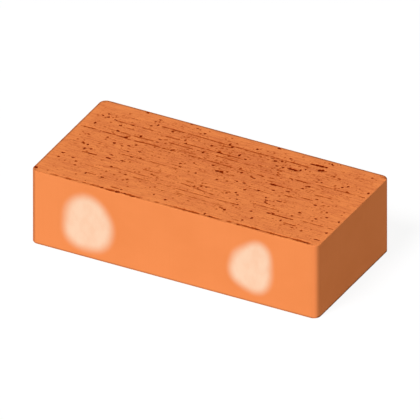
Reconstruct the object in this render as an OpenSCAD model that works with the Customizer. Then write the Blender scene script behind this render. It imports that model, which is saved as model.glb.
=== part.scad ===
// Solid clay brick of the wire-cut kind.
//
// Stiff clay leaves the die as an upright column, length by width in plan. Its four upright
// edges are rounded by the corners of the die. Wires then cut the column into courses, so
// the two bed faces have crisp arrises all round. It has no holes, frog or core.
//
// Frame: millimetres, +Z up. The brick lies on its bed. The origin is at the centre of the
// lower bed face, with +X along the length and +Y from the front stretcher face to the back.

/* [Block] */
// Length of the stretcher faces, along X
brick_length = 250; // [180:1:300]
// Width of the header faces, along Y
brick_width = 120; // [85:1:150]
// Height of one course, along Z
brick_height = 65; // [38:1:140]

/* [Edges] */
// Radius of the four upright edges, as the corners of the die leave them
die_corner_radius = 6; // [2:0.5:20]
// Radius of the arris round each bed face, where the wire left the clay
arris_radius = 0.5; // [0.3:0.1:1.5]

/* [Hidden] */
// Colour of the fired clay
CLAY = [0.89, 0.51, 0.28];
// Centres of the rounded upright edges
corner_x = brick_length / 2 - die_corner_radius;
corner_y = brick_width / 2 - die_corner_radius;
$fn = 96;

// Upright section through the course: span wide, standing on its lower bed, its four
// corners rounded to the arris.
module course_section(span) {
    inset = span / 2 - arris_radius;
    for (side = [-1, 1])
        for (level = [arris_radius, brick_height - arris_radius])
            translate([side * inset, level])
                circle(arris_radius);
    translate([-inset, 0])
        square([2 * inset, brick_height]);
    translate([-span / 2, arris_radius])
        square([span, brick_height - 2 * arris_radius]);
}

// The clay between the rounded upright edges, running the full length of the brick
module clay_along_length() {
    rotate([90, 0, 0])
        linear_extrude(2 * corner_y, center = true)
            course_section(brick_length);
}

// The clay between the rounded upright edges, running the full width of the brick
module clay_across_width() {
    rotate([90, 0, 90])
        linear_extrude(2 * corner_x, center = true)
            course_section(brick_width);
}

// One rounded upright edge, as a turned column with the same arris at both ends
module corner_column() {
    rotate_extrude()
        intersection() {
            course_section(2 * die_corner_radius);
            square([die_corner_radius, brick_height]);
        }
}

// The whole brick, one solid of fired clay
module brick() {
    color(CLAY)
        union() {
            clay_along_length();
            clay_across_width();
            for (x = [-corner_x, corner_x])
                for (y = [-corner_y, corner_y])
                    translate([x, y, 0])
                        corner_column();
        }
}

brick();
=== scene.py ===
"""A solid wire-cut clay brick, lying on its bed on a white studio floor."""
import math

import bmesh
import bpy
import numpy as np
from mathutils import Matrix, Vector, noise


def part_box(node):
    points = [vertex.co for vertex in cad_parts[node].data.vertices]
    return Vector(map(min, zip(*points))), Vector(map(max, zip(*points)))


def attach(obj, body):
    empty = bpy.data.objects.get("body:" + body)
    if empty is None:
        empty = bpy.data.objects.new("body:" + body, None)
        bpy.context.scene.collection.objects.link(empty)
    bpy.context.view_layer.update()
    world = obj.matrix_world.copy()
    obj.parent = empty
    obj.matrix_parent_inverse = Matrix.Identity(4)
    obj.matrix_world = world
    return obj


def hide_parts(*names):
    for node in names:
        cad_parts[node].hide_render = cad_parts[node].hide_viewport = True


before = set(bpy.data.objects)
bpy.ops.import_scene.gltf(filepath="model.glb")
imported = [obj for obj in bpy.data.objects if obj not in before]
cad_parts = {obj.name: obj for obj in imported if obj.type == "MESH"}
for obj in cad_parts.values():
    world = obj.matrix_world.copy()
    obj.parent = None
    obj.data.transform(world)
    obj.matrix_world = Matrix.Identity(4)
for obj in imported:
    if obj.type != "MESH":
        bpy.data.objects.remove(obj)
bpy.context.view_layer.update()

# --- The block of the brick --------------------------------------------------------------
# One piece of fired clay. Stiff clay is pressed up through a die, whose corners round the
# four upright edges, and wires cut the column into courses. It replaces the CAD brick.
MM = 0.001
brick_low, brick_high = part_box("brick")
brick_middle = (brick_low + brick_high) / 2
length, width, height = brick_high - brick_low
die_corner_radius = 6 * MM
arris_radius = 0.5 * MM
side_cell = 2.8 * MM
corner_cell = 1.2 * MM
course_cell = 3.25 * MM


def cut_along(axis, shortest, longest, cell):
    """Cuts the edges that run along the axis, and are that long, into cells."""
    spans = [(edge, abs((edge.verts[0].co - edge.verts[1].co)[axis])) for edge in clay.edges]
    chosen = [edge for edge, span in spans if shortest < span < longest]
    cuts = round(chosen[0].calc_length() / cell) - 1
    bmesh.ops.subdivide_edges(clay, edges=chosen, cuts=cuts, use_grid_fill=True)


clay = bmesh.new()
bmesh.ops.create_cube(clay, size=1)
bmesh.ops.scale(clay, vec=brick_high - brick_low, verts=clay.verts)
bmesh.ops.translate(clay, vec=brick_middle, verts=clay.verts)
for across, half in ((Vector((1, 0, 0)), length / 2), (Vector((0, 1, 0)), width / 2)):
    for side in (-1, 1):
        everything = clay.verts[:] + clay.edges[:] + clay.faces[:]
        bmesh.ops.bisect_plane(clay, geom=everything, dist=1e-6, plane_no=across,
                               plane_co=across * side * (half - die_corner_radius))
for axis in (0, 1):
    cut_along(axis, die_corner_radius / 2, 2 * die_corner_radius, corner_cell)
    cut_along(axis, 2 * die_corner_radius, length, side_cell)
cut_along(2, die_corner_radius, 2 * height, course_cell)

# The square corners of the grid are drawn in to the round corners of the die.
for vert in clay.verts:
    past_x = abs(vert.co.x) - (length / 2 - die_corner_radius)
    past_y = abs(vert.co.y) - (width / 2 - die_corner_radius)
    if min(past_x, past_y) > 0.01 * MM:
        reach = max(past_x, past_y)
        share = past_y / past_x if past_x > past_y else 2 - past_x / past_y
        turn = share * math.pi / 4
        vert.co.x += math.copysign(1, vert.co.x) * (reach * math.cos(turn) - past_x)
        vert.co.y += math.copysign(1, vert.co.y) * (reach * math.sin(turn) - past_y)

clay.normal_update()
rims = [edge for edge in clay.edges if edge.calc_face_angle() > math.radians(80)]
bmesh.ops.bevel(clay, geom=rims, offset=arris_radius, offset_type="OFFSET", affect="EDGES",
                segments=3, profile=0.5, material=-1)

# --- The wire-cut beds of the brick ------------------------------------------------------
# The wire is dragged through stiff clay along the length, so each bed is scored with fine
# lines, pitted where crumbs and grit pulled out, and torn along the arris where it left.
# Each bed's relief, and the painted shade in its hollows, is worked out in millimetres on a fine grid,
# which the mesh then takes.
step = 0.25
half_x = length / MM / 2
half_y = width / MM / 2
line_x = np.arange(-half_x, half_x + step / 2, step)
line_y = np.arange(-half_y, half_y + step / 2, step)


def ramp(value, start, end):
    """0 at start and before it, 1 at end and past it, with a smooth change between."""
    part = np.clip((value - start) / (end - start), 0, 1)
    return part * part * (3 - 2 * part)


def uneven(lump_x, lump_y, chance):
    """Smooth chance over a bed, from -1 to 1, in lumps of that size."""
    rows = int(2 * half_y / lump_y) + 3
    columns = int(2 * half_x / lump_x) + 3
    spots = chance.uniform(-1, 1, (rows, columns))
    column, right = np.divmod((line_x + half_x) / lump_x, 1)
    row, up = np.divmod((line_y + half_y) / lump_y, 1)
    column = column.astype(int)
    row = row.astype(int)
    right = ramp(right, 0, 1)
    up = ramp(up, 0, 1)[:, None]
    lower = spots[row][:, column] * (1 - right) + spots[row][:, column + 1] * right
    upper = spots[row + 1][:, column] * (1 - right) + spots[row + 1][:, column + 1] * right
    return lower * (1 - up) + upper * up


def fresh_bed(chance):
    """A bed as the wire leaves it before any line or pit: low swells and fine scoring."""
    inset = np.minimum(half_x - abs(line_x), (half_y - abs(line_y))[:, None])
    hub = np.exp(-((line_x - 10) / 80) ** 2 - ((line_y[:, None] - 28) / 30) ** 2)
    worked = ramp(inset + 5 * uneven(22, 9, chance), 2, 16) * (0.4 + 0.6 * hub)
    scoring = uneven(60, 1.8, chance) + uneven(20, 1.2, chance) * 0.6
    bed = {
        "worked": worked,
        "depth": 0.05 * (1 + uneven(45, 14, chance)) * ramp(inset, 0, 8) + 0.05 * scoring * worked,
        # Painted shade for the bed's hollows, which the lines, pits and tear below darken.
        "recess_shade": np.zeros_like(worked),
        "ragged": uneven(0.8, 0.7, chance),
        "sway": uneven(16, 60, chance),
        "broken": uneven(3.5, 40, chance),
    }
    return bed


def score_line(bed, start_x, end_x, y, wide, deep, drift=0):
    """A groove that the wire drags along the bed, broken and swaying a little."""
    near = np.ix_(abs(line_y - y) < 3 + abs(drift), (line_x > start_x) & (line_x < end_x))
    x = line_x[near[1]]
    middle = y + drift * (x - start_x) / (end_x - start_x) + 0.35 * bed["sway"][near]
    fade = ramp(np.minimum(x - start_x, end_x - x), 0, 3)
    groove = np.exp(-((line_y[near[0]] - middle) / wide * 1.35) ** 2) * fade
    groove = groove * np.clip(0.78 + 0.55 * bed["broken"][near] + 0.3 * bed["ragged"][near], 0, 1)
    bed["depth"][near] += 0.6 * deep * groove
    # Painted shade in the groove, darker the deeper it is.
    dark = min(1, 0.18 + 1.6 * deep) * groove
    bed["recess_shade"][near] = np.maximum(bed["recess_shade"][near], dark)


def pull_pit(bed, x, y, across_x, across_y, deep):
    """A ragged hollow where a crumb of clay or a grain of grit came out."""
    near = np.ix_(abs(line_y - y) < across_y + 1, abs(line_x - x) < across_x + 1)
    out = np.hypot((line_x[near[1]] - x) / across_x, (line_y[near[0]] - y) / across_y) * 2
    bowl = 1 - ramp(out + 0.35 * bed["ragged"][near], 0.9, 1.6)
    bed["depth"][near] = np.maximum(bed["depth"][near], 0.4 * deep * bowl)
    # Painted shade in the hollow, darker the deeper it is.
    dark = min(1, 0.25 + deep) * np.clip(1.3 * bowl, 0, 1)
    bed["recess_shade"][near] = np.maximum(bed["recess_shade"][near], dark)


def scatter(bed, chance, clumps, lines):
    """Clumps of small pits, and short scored lines, closer together where the bed is worked."""
    while clumps or lines:
        x = chance.uniform(-half_x + 3, half_x - 3)
        y = chance.uniform(-half_y + 2, half_y - 2)
        size = chance.uniform(0, 1)
        here = bed["worked"][int((y + half_y) / step), int((x + half_x) / step)]
        if chance.uniform(0, 1) > 0.1 + here ** 2:
            continue
        if clumps:
            clumps -= 1
            for crumb in range(chance.integers(1, 5)):
                bulk = (size * chance.uniform(0.4, 1)) ** 2
                pull_pit(bed, x, y, 1.2 + bulk, 1.1 + 0.8 * bulk, 0.1 + 0.6 * bulk)
                x += chance.normal(0, 4)
                y += chance.normal(0, 2)
        else:
            lines -= 1
            reach = 3 + 16 * size ** 2
            score_line(bed, x - reach / 2, x + reach / 2, y, 0.8, chance.uniform(0.02, 0.18))


# The top bed's long lines, each from start to end along x at y: width, depth and drift in y.
top_lines = [
    (-124, -79, 17.5, 0.8, 0.5, -0.5), (-76, -37, 16.5, 0.8, 0.4, 0), (-29, 41, 16.5, 0.8, 0.35, -1),
    (-67, 66.5, 45, 1.0, 0.4, -1.4), (-51, -27, 26, 0.9, 0.45, 0), (-27, 25, 26, 0.7, 0.3, -0.5),
    (56, 78.5, 22.5, 0.9, 0.45, -0.3), (78.5, 125, 23.5, 0.8, 0.3, -0.4), (49, 68.5, 7.5, 1.0, 0.4, 1),
    (84.5, 102.5, 9, 0.8, 0.35, 1), (74.5, 90.5, 1, 0.8, 0.4, 0), (64.5, 78.5, -2, 0.9, 0.3, 0),
    (68.5, 90.5, -31.5, 1.0, 0.5, 0), (92.5, 125, -30, 0.7, 0.3, 0), (82.5, 96.5, -38.5, 0.8, 0.35, -0.5),
    (-53, 41, -32, 0.8, 0.3, 0), (-15, 19, -23, 0.8, 0.35, -4), (-73, -25, -26.5, 0.8, 0.2, 0),
    (-77, -19, -6, 0.8, 0.22, 0), (27, 60.5, -5.5, 0.7, 0.2, 0), (-51, 31, -18.5, 0.8, 0.22, 0),
    (-102.5, -85, 36.5, 0.8, 0.35, 0), (-80, -67, 36.5, 0.8, 0.35, 0), (-96.5, -79, 30.5, 0.7, 0.3, 0),
    (-41, 17, 30.5, 0.8, 0.35, 0.3), (-104.5, -59, 23, 0.7, 0.25, -0.6), (-58, -41, 33.5, 0.9, 0.35, 0),
    (60.5, 77.5, 49, 1.3, 0.7, 0.7), (25, 33, 28.5, 1.1, 0.5, -0.8), (-95.5, -85, 10.5, 0.7, 0.25, -0.8),
    (-60, -49, -53, 1.0, 0.45, 0), (-104.5, -88.5, -16.5, 0.9, 0.35, 0), (-86.5, -75, -43, 0.8, 0.3, 0.5),
    (-47, -37, 39.5, 0.9, 0.3, 0), (-15, -1, 41, 1.0, 0.3, 1), (78.5, 100.5, 37, 0.7, 0.2, 0),
    (-13, 33, -37.5, 0.8, 0.2, -1), (-31, -1, -39.5, 0.7, 0.2, 0), (47, 74.5, -24, 0.7, 0.2, -0.4),
]
# Its larger pits: place x and y, size along x and y, and depth.
top_pits = [
    (-82.5, 17.5, 2.5, 1.7, 1.3), (-92.5, 23.5, 2.6, 1.6, 1.2), (-73, 24.5, 1.6, 2.8, 1.2),
    (-86, 36, 2.2, 1.3, 0.9), (-94.5, 31.5, 1.8, 1.2, 0.9), (-113.5, 26, 1.1, 2.4, 0.7),
    (-108.5, 38, 2.2, 1.1, 0.8), (-113.5, 38.5, 1.8, 1.0, 0.6), (-110, 42.5, 2.0, 1.1, 0.7),
    (-101.5, 37, 2.0, 1.0, 0.7), (-69, 45, 1.4, 1.4, 0.8), (-73, 42, 1.8, 1.2, 0.8),
    (-73, 49, 1.2, 1.1, 0.6), (-54.5, 42, 1.6, 1.4, 0.9), (-58, 22.5, 1.8, 1.1, 0.7),
    (-57.5, 27, 2.6, 0.9, 0.6), (-37.5, 31, 1.6, 1.4, 1.0), (-42.5, 17, 1.3, 1.6, 0.8),
    (-18, 37.5, 1.6, 1.8, 1.0), (-19.5, 25.5, 1.3, 2.3, 0.8), (-8, 31, 3.6, 1.1, 1.1),
    (-3.5, 12, 2.2, 1.5, 1.2), (-31, 51, 2.0, 1.1, 0.9), (-39.5, 55, 1.8, 1.0, 0.7),
    (-6.5, 46, 1.3, 2.2, 0.7), (-3, 43, 1.8, 1.5, 0.9), (-86.5, 6, 1.8, 1.6, 1.0),
    (-74.5, 7.5, 1.7, 1.3, 0.9), (-63, 3.5, 2.8, 1.1, 0.8), (-27, 2.5, 1.6, 1.3, 0.9),
    (7.5, 35, 1.6, 2.5, 1.2), (14.5, 31.5, 1.8, 1.1, 0.9), (15.5, 49, 1.8, 1.7, 1.0),
    (45, 48.5, 2.0, 1.2, 1.0), (36, 40, 2.2, 1.5, 1.0), (32.5, 42.5, 2.6, 0.8, 0.6),
    (62.5, 39.5, 1.2, 1.2, 0.8), (59.5, 36.5, 1.2, 2.4, 0.9), (77, 56, 1.3, 1.4, 0.8),
    (40.5, 34, 2.0, 1.2, 0.9), (45.5, 34.5, 2.0, 1.0, 0.8), (79, 30.5, 1.7, 1.2, 0.9),
    (82.5, 28, 1.6, 1.1, 0.9), (100, 29, 1.8, 1.3, 0.9), (103.5, 32, 1.3, 1.6, 0.9),
    (122, 30.5, 1.6, 2.0, 0.8), (77, 18, 1.8, 1.5, 1.0), (74, 13, 1.8, 1.5, 1.0),
    (60.5, 21, 1.2, 1.1, 0.8), (21, 12.5, 1.9, 1.7, 1.2), (33, 9.5, 3.0, 0.9, 0.7),
    (66, 4, 2.7, 1.1, 0.8), (-103.5, -5.5, 1.5, 1.4, 0.9), (-103, -11.5, 1.6, 1.4, 1.0),
    (-96, -16.5, 2.9, 1.1, 1.0), (-80, -16, 3.8, 1.3, 1.2), (-80, -11, 2.9, 0.9, 0.8),
    (-68.5, -14.5, 2.9, 1.1, 0.8), (-71.5, 0, 1.9, 1.1, 0.9), (-65, -6.5, 2.0, 1.0, 0.8),
    (-10, -4.5, 1.5, 1.5, 1.0), (-114.5, -25, 2.4, 1.0, 0.7), (-104.5, -28, 2.4, 0.9, 0.7),
    (-72, -26.5, 1.2, 1.6, 0.8), (-85, -44, 1.2, 1.8, 0.7), (-71, -43.5, 1.8, 1.4, 1.0),
    (-23.5, -48, 1.2, 1.4, 0.7), (-12.5, -50.5, 1.9, 1.3, 1.0), (-49.5, -53, 1.2, 1.5, 0.9),
    (30, -0.5, 1.9, 1.4, 1.0), (24, -1, 1.2, 1.4, 0.8), (45, -5, 2.0, 1.5, 1.1), (9, -5.5, 1.2, 1.3, 0.8),
    (94, -4, 2.3, 1.5, 1.2), (55, -11.5, 1.5, 1.4, 0.9), (57, -15, 2.4, 1.0, 0.9),
    (66.5, -12, 3.4, 1.0, 0.9), (31, -16, 1.3, 1.4, 0.8), (34, -18.5, 1.7, 1.2, 1.0),
    (7, -19.5, 1.6, 1.0, 0.8), (2, -23.5, 1.6, 1.0, 0.8), (88.5, -19.5, 1.7, 1.7, 1.1),
    (110.5, -16.5, 1.6, 1.6, 1.0), (122, -18, 1.6, 1.6, 0.9), (104, -22, 1.5, 1.6, 1.0),
    (85.5, -26.5, 1.6, 1.4, 1.0), (36.5, -24.5, 1.5, 1.2, 0.7), (40.5, -31, 1.2, 1.6, 0.8),
    (54.5, -35, 1.8, 1.4, 1.0), (67.5, -31.5, 2.6, 1.3, 1.2), (70.5, -30, 2.3, 1.0, 1.0),
    (81, -37, 1.0, 2.0, 0.7), (121, -37, 1.4, 1.8, 1.0), (59.5, -44, 1.6, 1.8, 1.0),
    (54.5, -50, 1.8, 1.2, 1.0), (119, -49.5, 3.8, 1.2, 1.0), (54, 35, 8.5, 1.7, 1.3),
    (72.5, 43.5, 1.9, 2.6, 1.3), (74.8, 44.3, 2.2, 2.4, 1.3), (64.5, 49, 4.5, 1.4, 1.1),
    (67.5, 49.3, 2.6, 2, 1.3), (71.5, 50, 3.6, 1.5, 1.2), (75, 50, 2.6, 1.3, 1), (3.2, 6, 2.4, 2, 1.2),
    (6.5, 6.2, 2.6, 2.1, 1.3), (51.2, 8, 4.6, 1.8, 1.2),
]
# Where single grains of grit came out of it, x and y, and where only a speck did. The pit of
# each kind has one size along x and y, and one depth.
grain_pit = (1.7, 1.5, 0.45)
speck_pit = (1.5, 1.3, 0.2)
top_grains = [
    (-70, 11), (-95, 11), (-79, 5), (-71, 53), (-40, 35), (-41, 18), (-18, 8), (1, 29.5), (87, 40),
    (92, 39), (44, 29), (107, 24), (75, 17), (38, 15), (30, 11), (91, 4), (-98, -10), (-58, -5),
    (-25, -2), (-39, -22), (-2, -23), (-115, -32), (-100, -32), (-57, -32), (-98, -37), (17, -4),
    (35, -9), (107, -10), (25, -20), (3, -20), (102, -43),
]
top_specks = [
    (-105, 39), (-103, 41), (-117, 37), (-110, 36), (-96, 50), (-82, 36), (-103, 32), (-104, 24),
    (-95, 20), (-93, 18), (-79, 16), (-95, 8), (-116, 10), (-116, 5), (-52, 3), (-46, 3), (-24, 4),
    (-70, 50), (-37, 54), (-29, 55), (-34, 49), (-24, 37), (-30, 39), (-40, 40), (-43, 39), (-45, 34),
    (-53, 29), (-18, 31), (-42, 13), (-31, 18), (-18, 15), (-7, 25), (-5, 20), (-9, 38), (-10, 41),
    (-9, 54), (-2, 49), (-13, 51), (18, 50), (24, 50), (30, 50), (38, 53), (40, 48), (52, 55), (71, 55),
    (87, 43), (30, 39), (15, 35), (46, 38), (56, 41), (67, 38), (101, 35), (113, 33), (24, 26), (39, 29),
    (79, 27), (94, 29), (36, 24), (97, 23), (87, 20), (110, 18), (46, 16), (48, 11), (45, 8), (17, 6),
    (3, 10), (109, 2), (-114, -2), (-99, -15), (-91, -16), (-76, -6), (-72, -6), (-16, -5), (-47, -17),
    (-35, -16), (-83, -21), (-37, -23), (-52, -25), (-49, -24), (-33, -25), (-32, -28), (-62, -31),
    (-4, -30), (-108, -35), (-42, -36), (-28, -38), (-21, -40), (-31, -40), (-74, -40), (-59, -41),
    (-55, -40), (-50, -42), (-91, -49), (-47, -47), (-8, -46), (-113, -54), (-80, -54), (36, -3),
    (63, -5), (71, -12), (63, -14), (100, -2), (104, -1), (100, -7), (103, -11), (119, -8), (119, -4),
    (4, -15), (2, -16), (22, -21), (107, -19), (103, -26), (73, -26), (31, -26), (10, -28), (38, -34),
    (42, -36), (74, -37), (96, -36), (108, -38), (97, -41), (84, -43), (4, -44),
]
# Nicks out of its arris at the back and the front left corner, then the deepest of the tear.
top_nicks = [
    (-84.5, 57.9, 2.2, 1.6, 1.0), (30, 57.9, 2.4, 1.6, 1.1), (-46.5, 58.2, 1.8, 1.0, 0.6),
    (-123, -54, 2.8, 2.6, 1.3), (-64, -57.5, 2.6, 1.3, 1.0), (-50.5, -57.5, 3.0, 1.9, 1.2),
    (-44, -57, 2.2, 1.4, 1.0), (-37, -58, 3.8, 1.3, 1.0), (24.5, -55, 1.2, 1.8, 0.8),
    (29.5, -57, 3.0, 1.6, 1.1), (55, -57.5, 2.8, 1.3, 1.0), (71, -57, 2.6, 1.5, 1.0),
    (113, -57, 4.2, 1.5, 1.2),
]
# Where along x the front arris is torn, and how hard, from 0 to 1. Then the furrow's y and width.
tear_x = [-125, -112, -100, -75, -64, -52, -34, -28, -4, 4, 30, 38, 52, 58, 96, 112, 116, 119]
tear_hard = [0, 0.4, 0.7, 0.8, 0.75, 1, 0.85, 0.6, 0.6, 0.9, 1, 0.75, 0.75, 1, 0.9, 1, 0.9, 0]
tear_y = -57.1
tear_wide = 1.1


def tear_arris(bed, chance):
    """The ragged furrow just inside the front arris, where the wire left the clay."""
    hard = np.interp(line_x, tear_x, tear_hard)
    hard = hard * np.clip(0.8 + 0.5 * uneven(3.5, 300, chance)[0], 0, 1)
    middle = tear_y + 0.35 * uneven(7, 300, chance)[0] + 0.004 * line_x
    wide = tear_wide + 0.5 * uneven(3, 300, chance)[0]
    out = abs(line_y[:, None] - middle) / wide + 0.3 * bed["ragged"]
    furrow = (1 - ramp(out, 0.4, 1.4)) * hard
    bed["depth"] = np.maximum(bed["depth"], 0.45 * furrow)
    # Painted shade in the furrow.
    bed["recess_shade"] = np.maximum(bed["recess_shade"], 0.64 * furrow)


top_chance = np.random.default_rng(31)
top_bed = fresh_bed(top_chance)
for line in top_lines:
    score_line(top_bed, *line)
scatter(top_bed, top_chance, clumps=40, lines=150)
for pit in top_pits + top_nicks:
    pull_pit(top_bed, *pit)
for x, y in top_grains:
    pull_pit(top_bed, x, y, *grain_pit)
for x, y in top_specks:
    pull_pit(top_bed, x, y, *speck_pit)
tear_arris(top_bed, top_chance)

# The hidden lower bed has lines and pits of the same kind, all left to chance.
under_lines = 22
under_chance = np.random.default_rng(64)
under_bed = fresh_bed(under_chance)
for line in range(under_lines):
    start_x = under_chance.uniform(-120, 80)
    reach = under_chance.uniform(20, 90)
    score_line(under_bed, start_x, min(start_x + reach, half_x), under_chance.uniform(-54, 54), 0.9,
               under_chance.uniform(0.2, 0.45))
scatter(under_bed, under_chance, clumps=90, lines=60)


# How far down the sides the relief of a bed fades out.
fade_depth = 2.5 * MM


def spots_on(field, places):
    """The field's values under the given places, which are in metres."""
    row = np.rint((places[:, 1] / MM + half_y) / step).astype(int).clip(0, len(line_y) - 1)
    column = np.rint((places[:, 0] / MM + half_x) / step).astype(int).clip(0, len(line_x) - 1)
    return field[row, column]


def spread(field, reach):
    """Grows the field's high spots outwards by that many millimetres."""
    for axis in (0, 1):
        shifts = range(-round(reach / step), round(reach / step) + 1)
        field = np.max([np.roll(field, shift, axis) for shift in shifts], axis=0)
    return field


def split_cells(in_band, busy, longest):
    """Cuts the bed's cells in four where the relief is busy, down to that edge length."""
    faces = [face for face in clay.faces if in_band(face.calc_center_median().z)]
    centres = np.array([face.calc_center_median() for face in faces])
    chosen = [face for face, hit in zip(faces, spots_on(busy, centres)) if hit]
    edges = [edge for face in chosen for edge in face.edges if edge.calc_length() > longest]
    bmesh.ops.subdivide_edges(clay, edges=list(dict.fromkeys(edges)), cuts=1,
                              use_grid_fill=True, use_single_edge=True)


def near_top(z):
    return z > height - fade_depth


def near_under(z):
    return z < arris_radius / 2


def on_top(z):
    return z > height - arris_radius / 2


# The cells are cut finer, down to these edge lengths, where the relief is busier.
bed_cell = 1.45 * MM
mark_cell = 0.75 * MM
deep_mark_cell = 0.4 * MM
relief = np.maximum(top_bed["recess_shade"], top_bed["depth"] - 0.2)
split_cells(on_top, np.ones_like(relief), bed_cell)
split_cells(near_top, spread(relief > 0.2, 0.5), mark_cell)
split_cells(near_top, spread(relief > 0.45, 0.25), deep_mark_cell)
split_cells(near_under, spread(under_bed["recess_shade"] > 0.3, 1), bed_cell)

# Each side of the brick has its own place on the flat sheet that its finish can be painted
# on: the beds and stretcher faces one above the other, and the two ends upright beside them.
gap = 2 * MM
sheet_width = length + height + 3 * gap
sheet_height = 2 * width + 2 * height + 5 * gap
column = length / 2 + gap
end_column = length + height / 2 + 2 * gap
sheet_places = {
    (2, 1): ((1, 0, 0), (0, 1, 0), column, width / 2 + gap),
    (2, -1): ((-1, 0, 0), (0, 1, 0), column, 1.5 * width + 2 * gap),
    (1, -1): ((1, 0, 0), (0, 0, 1), column, 2 * width + height / 2 + 3 * gap),
    (1, 1): ((-1, 0, 0), (0, 0, 1), column, 2 * width + 1.5 * height + 4 * gap),
    (0, 1): ((0, 0, -1), (0, 1, 0), end_column, width / 2 + gap),
    (0, -1): ((0, 0, -1), (0, -1, 0), end_column, 1.5 * width + 2 * gap),
}
sheet_layer = clay.loops.layers.uv.new("OFBake")
clay.normal_update()
for face in clay.faces:
    axis = max(range(3), key=lambda number: abs(face.normal[number]))
    across, up, middle_u, middle_v = sheet_places[axis, 1 if face.normal[axis] > 0 else -1]
    for loop in face.loops:
        off = loop.vert.co - brick_middle
        u = (middle_u + off.dot(Vector(across))) / sheet_width
        v = (middle_v + off.dot(Vector(up))) / sheet_height
        loop[sheet_layer].uv = (u, v)

# Every point sinks into the bed above or below it, less and less down the sides. The sides
# keep the low swells that the clay gets as it dries, and the arris is worn a little.
cut_layer = clay.verts.layers.float.new("wire_cut")
worked_layer = clay.verts.layers.float.new("worked")
recess_shade_layer = clay.verts.layers.float.new("recess_shade")
clay.normal_update()
clay.verts.ensure_lookup_table()
places = np.array([vert.co for vert in clay.verts])
for bed, side, level in ((top_bed, -1, height), (under_bed, 1, 0)):
    share = np.clip(1 - abs(places[:, 2] - level) / fade_depth, 0, 1)
    sunk = spots_on(bed["depth"], places) * share * MM
    # Each point takes the painted shade of the hollow it lies in.
    recess_shade = spots_on(bed["recess_shade"], places) * np.clip(1.6 * share - 0.6, 0, 1)
    worked = spots_on(bed["worked"], places)
    for index in np.flatnonzero(share):
        vert = clay.verts[index]
        vert.co.z += side * sunk[index]
        vert[recess_shade_layer] = recess_shade[index]
        vert[worked_layer] = worked[index]
        vert[cut_layer] = abs(vert.normal.z) ** 2
for vert in clay.verts:
    flat = Vector((vert.normal.x, vert.normal.y, 0))
    drying_swell = 0.05 * noise.noise(vert.co / (45 * MM))
    fine_grain = 0.01 * noise.noise(vert.co / (1.7 * MM))
    steep = abs(vert.normal.z)
    on_arris = min(1, max(0, 5 * min(steep - 0.2, 0.97 - steep)))
    wear = 0.2 * max(0, noise.noise(vert.co / (4 * MM)) + 0.1)
    vert.co += flat * (drying_swell + fine_grain - wear * on_arris) * MM

many_sided = [face for face in clay.faces if len(face.verts) > 4]
bmesh.ops.triangulate(clay, faces=many_sided)

brick_mesh = bpy.data.meshes.new("brick_clay")
for face in clay.faces:
    face.smooth = True
bmesh.ops.recalc_face_normals(clay, faces=clay.faces)
clay.to_mesh(brick_mesh)
clay.free()
brick = bpy.data.objects.new("brick_clay", brick_mesh)
even_normals = brick.modifiers.new("even_normals", "WEIGHTED_NORMAL")
even_normals.keep_sharp = False
bpy.context.scene.collection.objects.link(brick)

# --- The finish of the fired clay --------------------------------------------------------
# Orange earthenware, fired matt. The die leaves the sides smooth, with faint upright streaks.
# The cut beds are rougher and redder where the wire worked them. Two pale patches of salts
# bloomed on the front while the brick dried against its neighbours.
fired_clay = bpy.data.materials.new("fired_clay")
fired_clay.use_nodes = True
finish = fired_clay.node_tree
shader = finish.nodes["Principled BSDF"]


def add(kind, sockets, **settings):
    """Adds a node to the finish; each socket takes a value or another node's output."""
    node = finish.nodes.new("ShaderNode" + kind)
    for name, value in settings.items():
        setattr(node, name, value)
    for name, source in sockets.items():
        if isinstance(source, bpy.types.NodeSocket):
            finish.links.new(source, node.inputs[name])
        else:
            node.inputs[name].default_value = source
    return node.outputs


place = add("TexCoord", {})["Object"]


def lumps(x, y, z, detail=2.0, roughness=0.5):
    """Noise from 0 to 1 whose lumps measure x by y by z millimetres."""
    scaled = add("Mapping", {"Vector": place, "Scale": (1 / (x * MM), 1 / (y * MM), 1 / (z * MM))})[0]
    return add("TexNoise", {"Vector": scaled, "Scale": 1.0, "Detail": detail, "Roughness": roughness})[0]


def between(value, start, end, low=0.0, high=1.0):
    """Takes value from low at start to high at end."""
    sockets = {"Value": value, "From Min": start, "From Max": end, "To Min": low, "To Max": high}
    return add("MapRange", sockets, interpolation_type="SMOOTHSTEP")[0]


def maths(operation, first, second=0.0, third=0.0):
    return add("Math", {0: first, 1: second, 2: third}, operation=operation)[0]


def blend(amount, under, over):
    return add("Mix", {0: amount, 6: under, 7: over}, data_type="RGBA")[2]


def field(name):
    return add("Attribute", {}, attribute_name=name)["Fac"]


skin_tone = (0.765, 0.232, 0.071, 1)
skin_deep_tone = (0.740, 0.220, 0.065, 1)
bed_tone = (0.838, 0.254, 0.073, 1)
bed_worked_tone = (0.600, 0.146, 0.045, 1)
# A dark red-brown for dashes and specks on the beds, and for painted shade in shallow hollows.
scratch_and_shade_tone = (0.370, 0.050, 0.002, 1)
# The darkest painted shade, deep in pits, grooves and the torn furrow.
pit_shade_tone = (0.185, 0.014, 0.0005, 1)
# The dark brown of the painted shade along the edges and on the front right corner.
painted_shade_tone = (0.110, 0.036, 0.014, 1)
# A lighter orange painted on the front of the front right upright edge as light.
painted_light_tone = (0.890, 0.258, 0.080, 1)
bloom_tone = (0.820, 0.550, 0.380, 1)

grain = lumps(0.6, 0.6, 0.6, detail=3)
streaks = lumps(1.5, 1.5, 70)
skin = blend(between(lumps(40, 40, 30), 0.35, 0.75), skin_tone, skin_deep_tone)
skin = blend(between(streaks, 0.45, 0.75, high=0.35), skin, skin_deep_tone)

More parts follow.
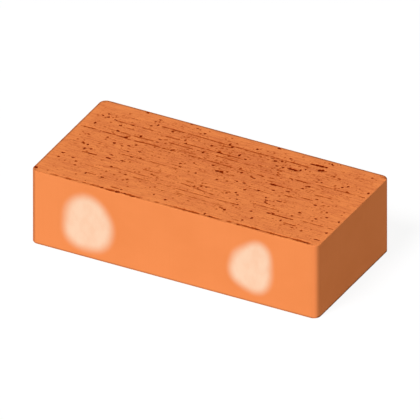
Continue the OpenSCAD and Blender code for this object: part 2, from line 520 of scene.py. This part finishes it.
# Each patch of bloom: its middle in x and z, its radius, then how far and which way its
# outline is drawn out two ways, three ways and so on.
blooms = [
    (-75, 30, 22, [(0.07, 170), (0.04, -60), (0.015, 180), (0.015, 55)]),
    (68, 31, 19.5, [(0.13, 145), (0.08, -160), (0.02, -140), (0.025, -15)]),
]
soft_share = 0.26
parts = add("SeparateXYZ", {"Vector": place})
on_front = between(parts["Y"], -width / 2 + 4 * MM, -width / 2 + 3 * MM)
thick = between(lumps(7, 7, 12, detail=4), 0.3, 0.7, low=0.86, high=1.0)
for middle_x, middle_z, radius, waves in blooms:
    off_x = maths("SUBTRACT", parts["X"], middle_x * MM)
    off_z = maths("SUBTRACT", parts["Z"], middle_z * MM)
    turn = maths("ARCTAN2", off_z, off_x)
    squares = maths("ADD", maths("MULTIPLY", off_x, off_x), maths("MULTIPLY", off_z, off_z))
    far = maths("SQRT", squares)
    outline = 1.0
    for ways, (drawn_out, heading) in enumerate(waves, start=2):
        wave = maths("COSINE", maths("MULTIPLY_ADD", turn, ways, -math.radians(heading)))
        outline = maths("MULTIPLY_ADD", wave, drawn_out, outline)
    outline = maths("MULTIPLY", outline, radius * MM)
    soft = soft_share * radius * MM
    inside = between(maths("SUBTRACT", outline, far), -soft, soft)
    cover = maths("MULTIPLY", maths("MULTIPLY", inside, thick), on_front)
    skin = blend(cover, skin, bloom_tone)

worked = field("worked")
scoring = lumps(22, 0.9, 6, detail=3, roughness=0.65)
mottle = lumps(12, 5, 6, detail=3)
grit = lumps(1.1, 0.9, 1, detail=2, roughness=0.7)
reddened = maths("MULTIPLY", worked, 0.38)
reddened = maths("ADD", reddened, between(mottle, 0.3, 0.7, low=-0.1, high=0.2))
reddened = maths("ADD", reddened, between(scoring, 0.42, 0.68, low=-0.12, high=0.5))
reddened = maths("ADD", reddened, between(grit, 0.35, 0.7, low=-0.12, high=0.27))
bed = blend(reddened, bed_tone, bed_worked_tone)
dashes = between(lumps(3.2, 0.9, 3, detail=2), 0.57, 0.67, high=0.55)
bed = blend(maths("MULTIPLY", dashes, maths("MULTIPLY_ADD", worked, 0.8, 0.2)), bed, scratch_and_shade_tone)


def crumbs(x, y, share, radius):
    """Small spots on the beds, at most one to a cell of x by y mm, in that share of the cells."""
    scaled = add("Mapping", {"Vector": place, "Scale": (1 / (x * MM), 1 / (y * MM), 1)})[0]
    cell = add("TexVoronoi", {"Vector": scaled, "Scale": 1.0}, voronoi_dimensions="2D")
    size = between(add("SeparateColor", {"Color": cell["Color"]})["Red"], 1 - share, 1, high=radius)
    return between(maths("SUBTRACT", cell["Distance"], size), 0.06, -0.06)


speck = maths("MAXIMUM", crumbs(2.6, 2.2, 0.2, 0.32), crumbs(4.5, 1.9, 0.2, 0.35))
bed = blend(maths("MULTIPLY", speck, maths("MULTIPLY_ADD", worked, 0.6, 0.2)), bed, scratch_and_shade_tone)
clay_colour = blend(between(field("wire_cut"), 0.3, 0.8), skin, bed)

# The arris is painted a shade darker at the back, at the left and all round the underside, and so are the
# upright edges but the front right one: painted shade along these edges, and along the foot of the sides
# a painted contact shadow.
top_rim = between(parts["Z"], height - 1.5 * MM, height - 0.6 * MM)
back_rim = between(parts["Y"], width / 2 - 2.6 * MM, width / 2 - 1.2 * MM)
left_rim = between(parts["X"], 2.0 * MM - length / 2, 0.9 * MM - length / 2)
rim = maths("MULTIPLY", maths("MULTIPLY", top_rim, maths("MAXIMUM", back_rim, left_rim)), 1.3)
on_end = between(parts["X"], length / 2 - die_corner_radius, length / 2, low=1.0, high=2.2)
off_the_bed = between(field("wire_cut"), 0.95, 0.7)
under_rim = maths("MULTIPLY", between(parts["Z"], 2.1 * MM, 0.6 * MM), off_the_bed)
rim = maths("MAXIMUM", rim, maths("MULTIPLY", under_rim, on_end))
round_x = maths("SUBTRACT", maths("ABSOLUTE", parts["X"]), length / 2 - die_corner_radius)
round_y = maths("SUBTRACT", maths("ABSOLUTE", parts["Y"]), width / 2 - die_corner_radius)
upright_rim = between(maths("MINIMUM", round_x, round_y), 1.0 * MM, 2.6 * MM, high=0.8)
left_half = maths("LESS_THAN", parts["X"], 0.0)
back_half = maths("GREATER_THAN", parts["Y"], 0.0)
upright_rim = maths("MULTIPLY", upright_rim, maths("MAXIMUM", left_half, back_half))
rim = maths("MAXIMUM", rim, maths("MULTIPLY", upright_rim, on_end))
painted_rim_shade = maths("MULTIPLY", rim, between(mottle, 0.3, 0.7, low=0.34, high=0.44))
clay_colour = blend(painted_rim_shade, clay_colour, painted_shade_tone)

# Painted light and shade: the front right upright edge is painted lighter on its front side and darker on
# the other, so that it turns from light to shade more sharply.
painted_corner_light = between(parts["X"], length / 2 - 5.2 * MM, length / 2 - 3 * MM, high=0.6)
painted_corner_light = maths("MULTIPLY", painted_corner_light, between(parts["X"], length / 2 - 0.9 * MM, length / 2 - 1.9 * MM))
painted_corner_light = maths("MULTIPLY", painted_corner_light, between(parts["Y"], 4 * MM - width / 2, 3 * MM - width / 2))
clay_colour = blend(painted_corner_light, clay_colour, painted_light_tone)
painted_corner_shade = between(parts["X"], length / 2 - 1.6 * MM, length / 2 - 0.6 * MM, high=0.07)
painted_corner_shade = maths("MULTIPLY", painted_corner_shade, between(parts["Y"], 6 * MM - width / 2, 4.5 * MM - width / 2))
clay_colour = blend(painted_corner_shade, clay_colour, painted_shade_tone)

# Painted shade in the grooves, pits and torn furrow of the beds, darkest in the deepest hollows.
recess_shade = maths("ADD", field("recess_shade"), between(grain, 0.3, 0.7, low=-0.06, high=0.06))
clay_colour = blend(between(recess_shade, 0.1, 0.5, high=0.9), clay_colour, scratch_and_shade_tone)
clay_colour = blend(between(recess_shade, 0.45, 0.95), clay_colour, pit_shade_tone)
finish.links.new(clay_colour, shader.inputs["Base Color"])

roughness = between(grain, 0.3, 0.7, low=0.80, high=0.92)
finish.links.new(maths("MULTIPLY_ADD", field("wire_cut"), 0.06, roughness), shader.inputs["Roughness"])
shader.inputs["Specular IOR Level"].default_value = 0.0

raised = maths("MULTIPLY", grain, 0.10)
raised = maths("MULTIPLY_ADD", streaks, 0.02, raised)
rough_cut = maths("MULTIPLY", scoring, field("wire_cut"))
raised = maths("MULTIPLY_ADD", rough_cut, 0.35, raised)
relief_normal = add("Bump", {"Strength": 0.6, "Distance": MM, "Height": raised})[0]
finish.links.new(relief_normal, shader.inputs["Normal"])
brick_mesh.materials.append(fired_clay)

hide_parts("brick")
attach(brick, "root")

# --- The studio --------------------------------------------------------------------------
# A plain floor, white mostly by its own glow so that shadows stay faint, one soft light high in
# front and a little to the left, and a weak even fill. The backdrop is seen as pure white.
floor_half = 3.0
floor_tone = 0.09
floor_glow = 0.918
floor_mesh = bpy.data.meshes.new("studio_floor")
sweep = bmesh.new()
bmesh.ops.create_grid(sweep, x_segments=1, y_segments=1, size=floor_half)
sweep.to_mesh(floor_mesh)
sweep.free()
floor = bpy.data.objects.new("studio_floor", floor_mesh)
bpy.context.scene.collection.objects.link(floor)
white_floor = bpy.data.materials.new("white_floor")
white_floor.use_nodes = True
floor_shader = white_floor.node_tree.nodes["Principled BSDF"]
floor_shader.inputs["Base Color"].default_value = (floor_tone, floor_tone, floor_tone, 1)
floor_shader.inputs["Emission Color"].default_value = (1, 1, 1, 1)
floor_shader.inputs["Emission Strength"].default_value = floor_glow
floor_shader.inputs["Roughness"].default_value = 1.0
floor_shader.inputs["Specular IOR Level"].default_value = 0.0
floor_mesh.materials.append(white_floor)

key_direction = Vector((-0.20, -0.755, 1.02)).normalized()
key_strength = 3.70
key_spread = math.radians(20)
key_data = bpy.data.lights.new("key_light", "SUN")
key_data.energy = key_strength
key_data.angle = key_spread
key = bpy.data.objects.new("key_light", key_data)
key.location = key_direction
key.rotation_mode = "QUATERNION"
key.rotation_quaternion = key_direction.to_track_quat("Z", "Y")
bpy.context.scene.collection.objects.link(key)

fill = bpy.data.worlds.new("studio_fill")
fill.use_nodes = True
backdrop = fill.node_tree.nodes["Background"]
backdrop.inputs["Color"].default_value = (1, 1, 1, 1)
fill_strength = 0.05
seen_strength = 1.0
rays = fill.node_tree.nodes.new("ShaderNodeLightPath")
strength = fill.node_tree.nodes.new("ShaderNodeMapRange")
strength.inputs["To Min"].default_value = fill_strength
strength.inputs["To Max"].default_value = seen_strength
fill.node_tree.links.new(rays.outputs["Is Camera Ray"], strength.inputs["Value"])
fill.node_tree.links.new(strength.outputs["Result"], backdrop.inputs["Strength"])
bpy.context.scene.world = fill

# --- The camera --------------------------------------------------------------------------
# A parallel view, turned to the right of the front and looking down on the top bed.
camera_turn = math.radians(27.8)
camera_rise = math.radians(31.0)
camera_far = 1.2
aim_below_middle = 0.5 * MM
camera_data = bpy.data.cameras.new("camera")
camera_data.type = "ORTHO"
camera_data.ortho_scale = 0.3236
camera = bpy.data.objects.new("camera", camera_data)
back = Vector((math.sin(camera_turn) * math.cos(camera_rise),
               -math.cos(camera_turn) * math.cos(camera_rise),
               math.sin(camera_rise)))
aim = brick_middle - Vector((0, 0, aim_below_middle))
camera.location = aim + back * camera_far
camera.rotation_euler = (math.pi / 2 - camera_rise, 0, camera_turn)
bpy.context.scene.collection.objects.link(camera)
bpy.context.scene.camera = camera
bpy.context.scene.view_settings.view_transform = "Standard"
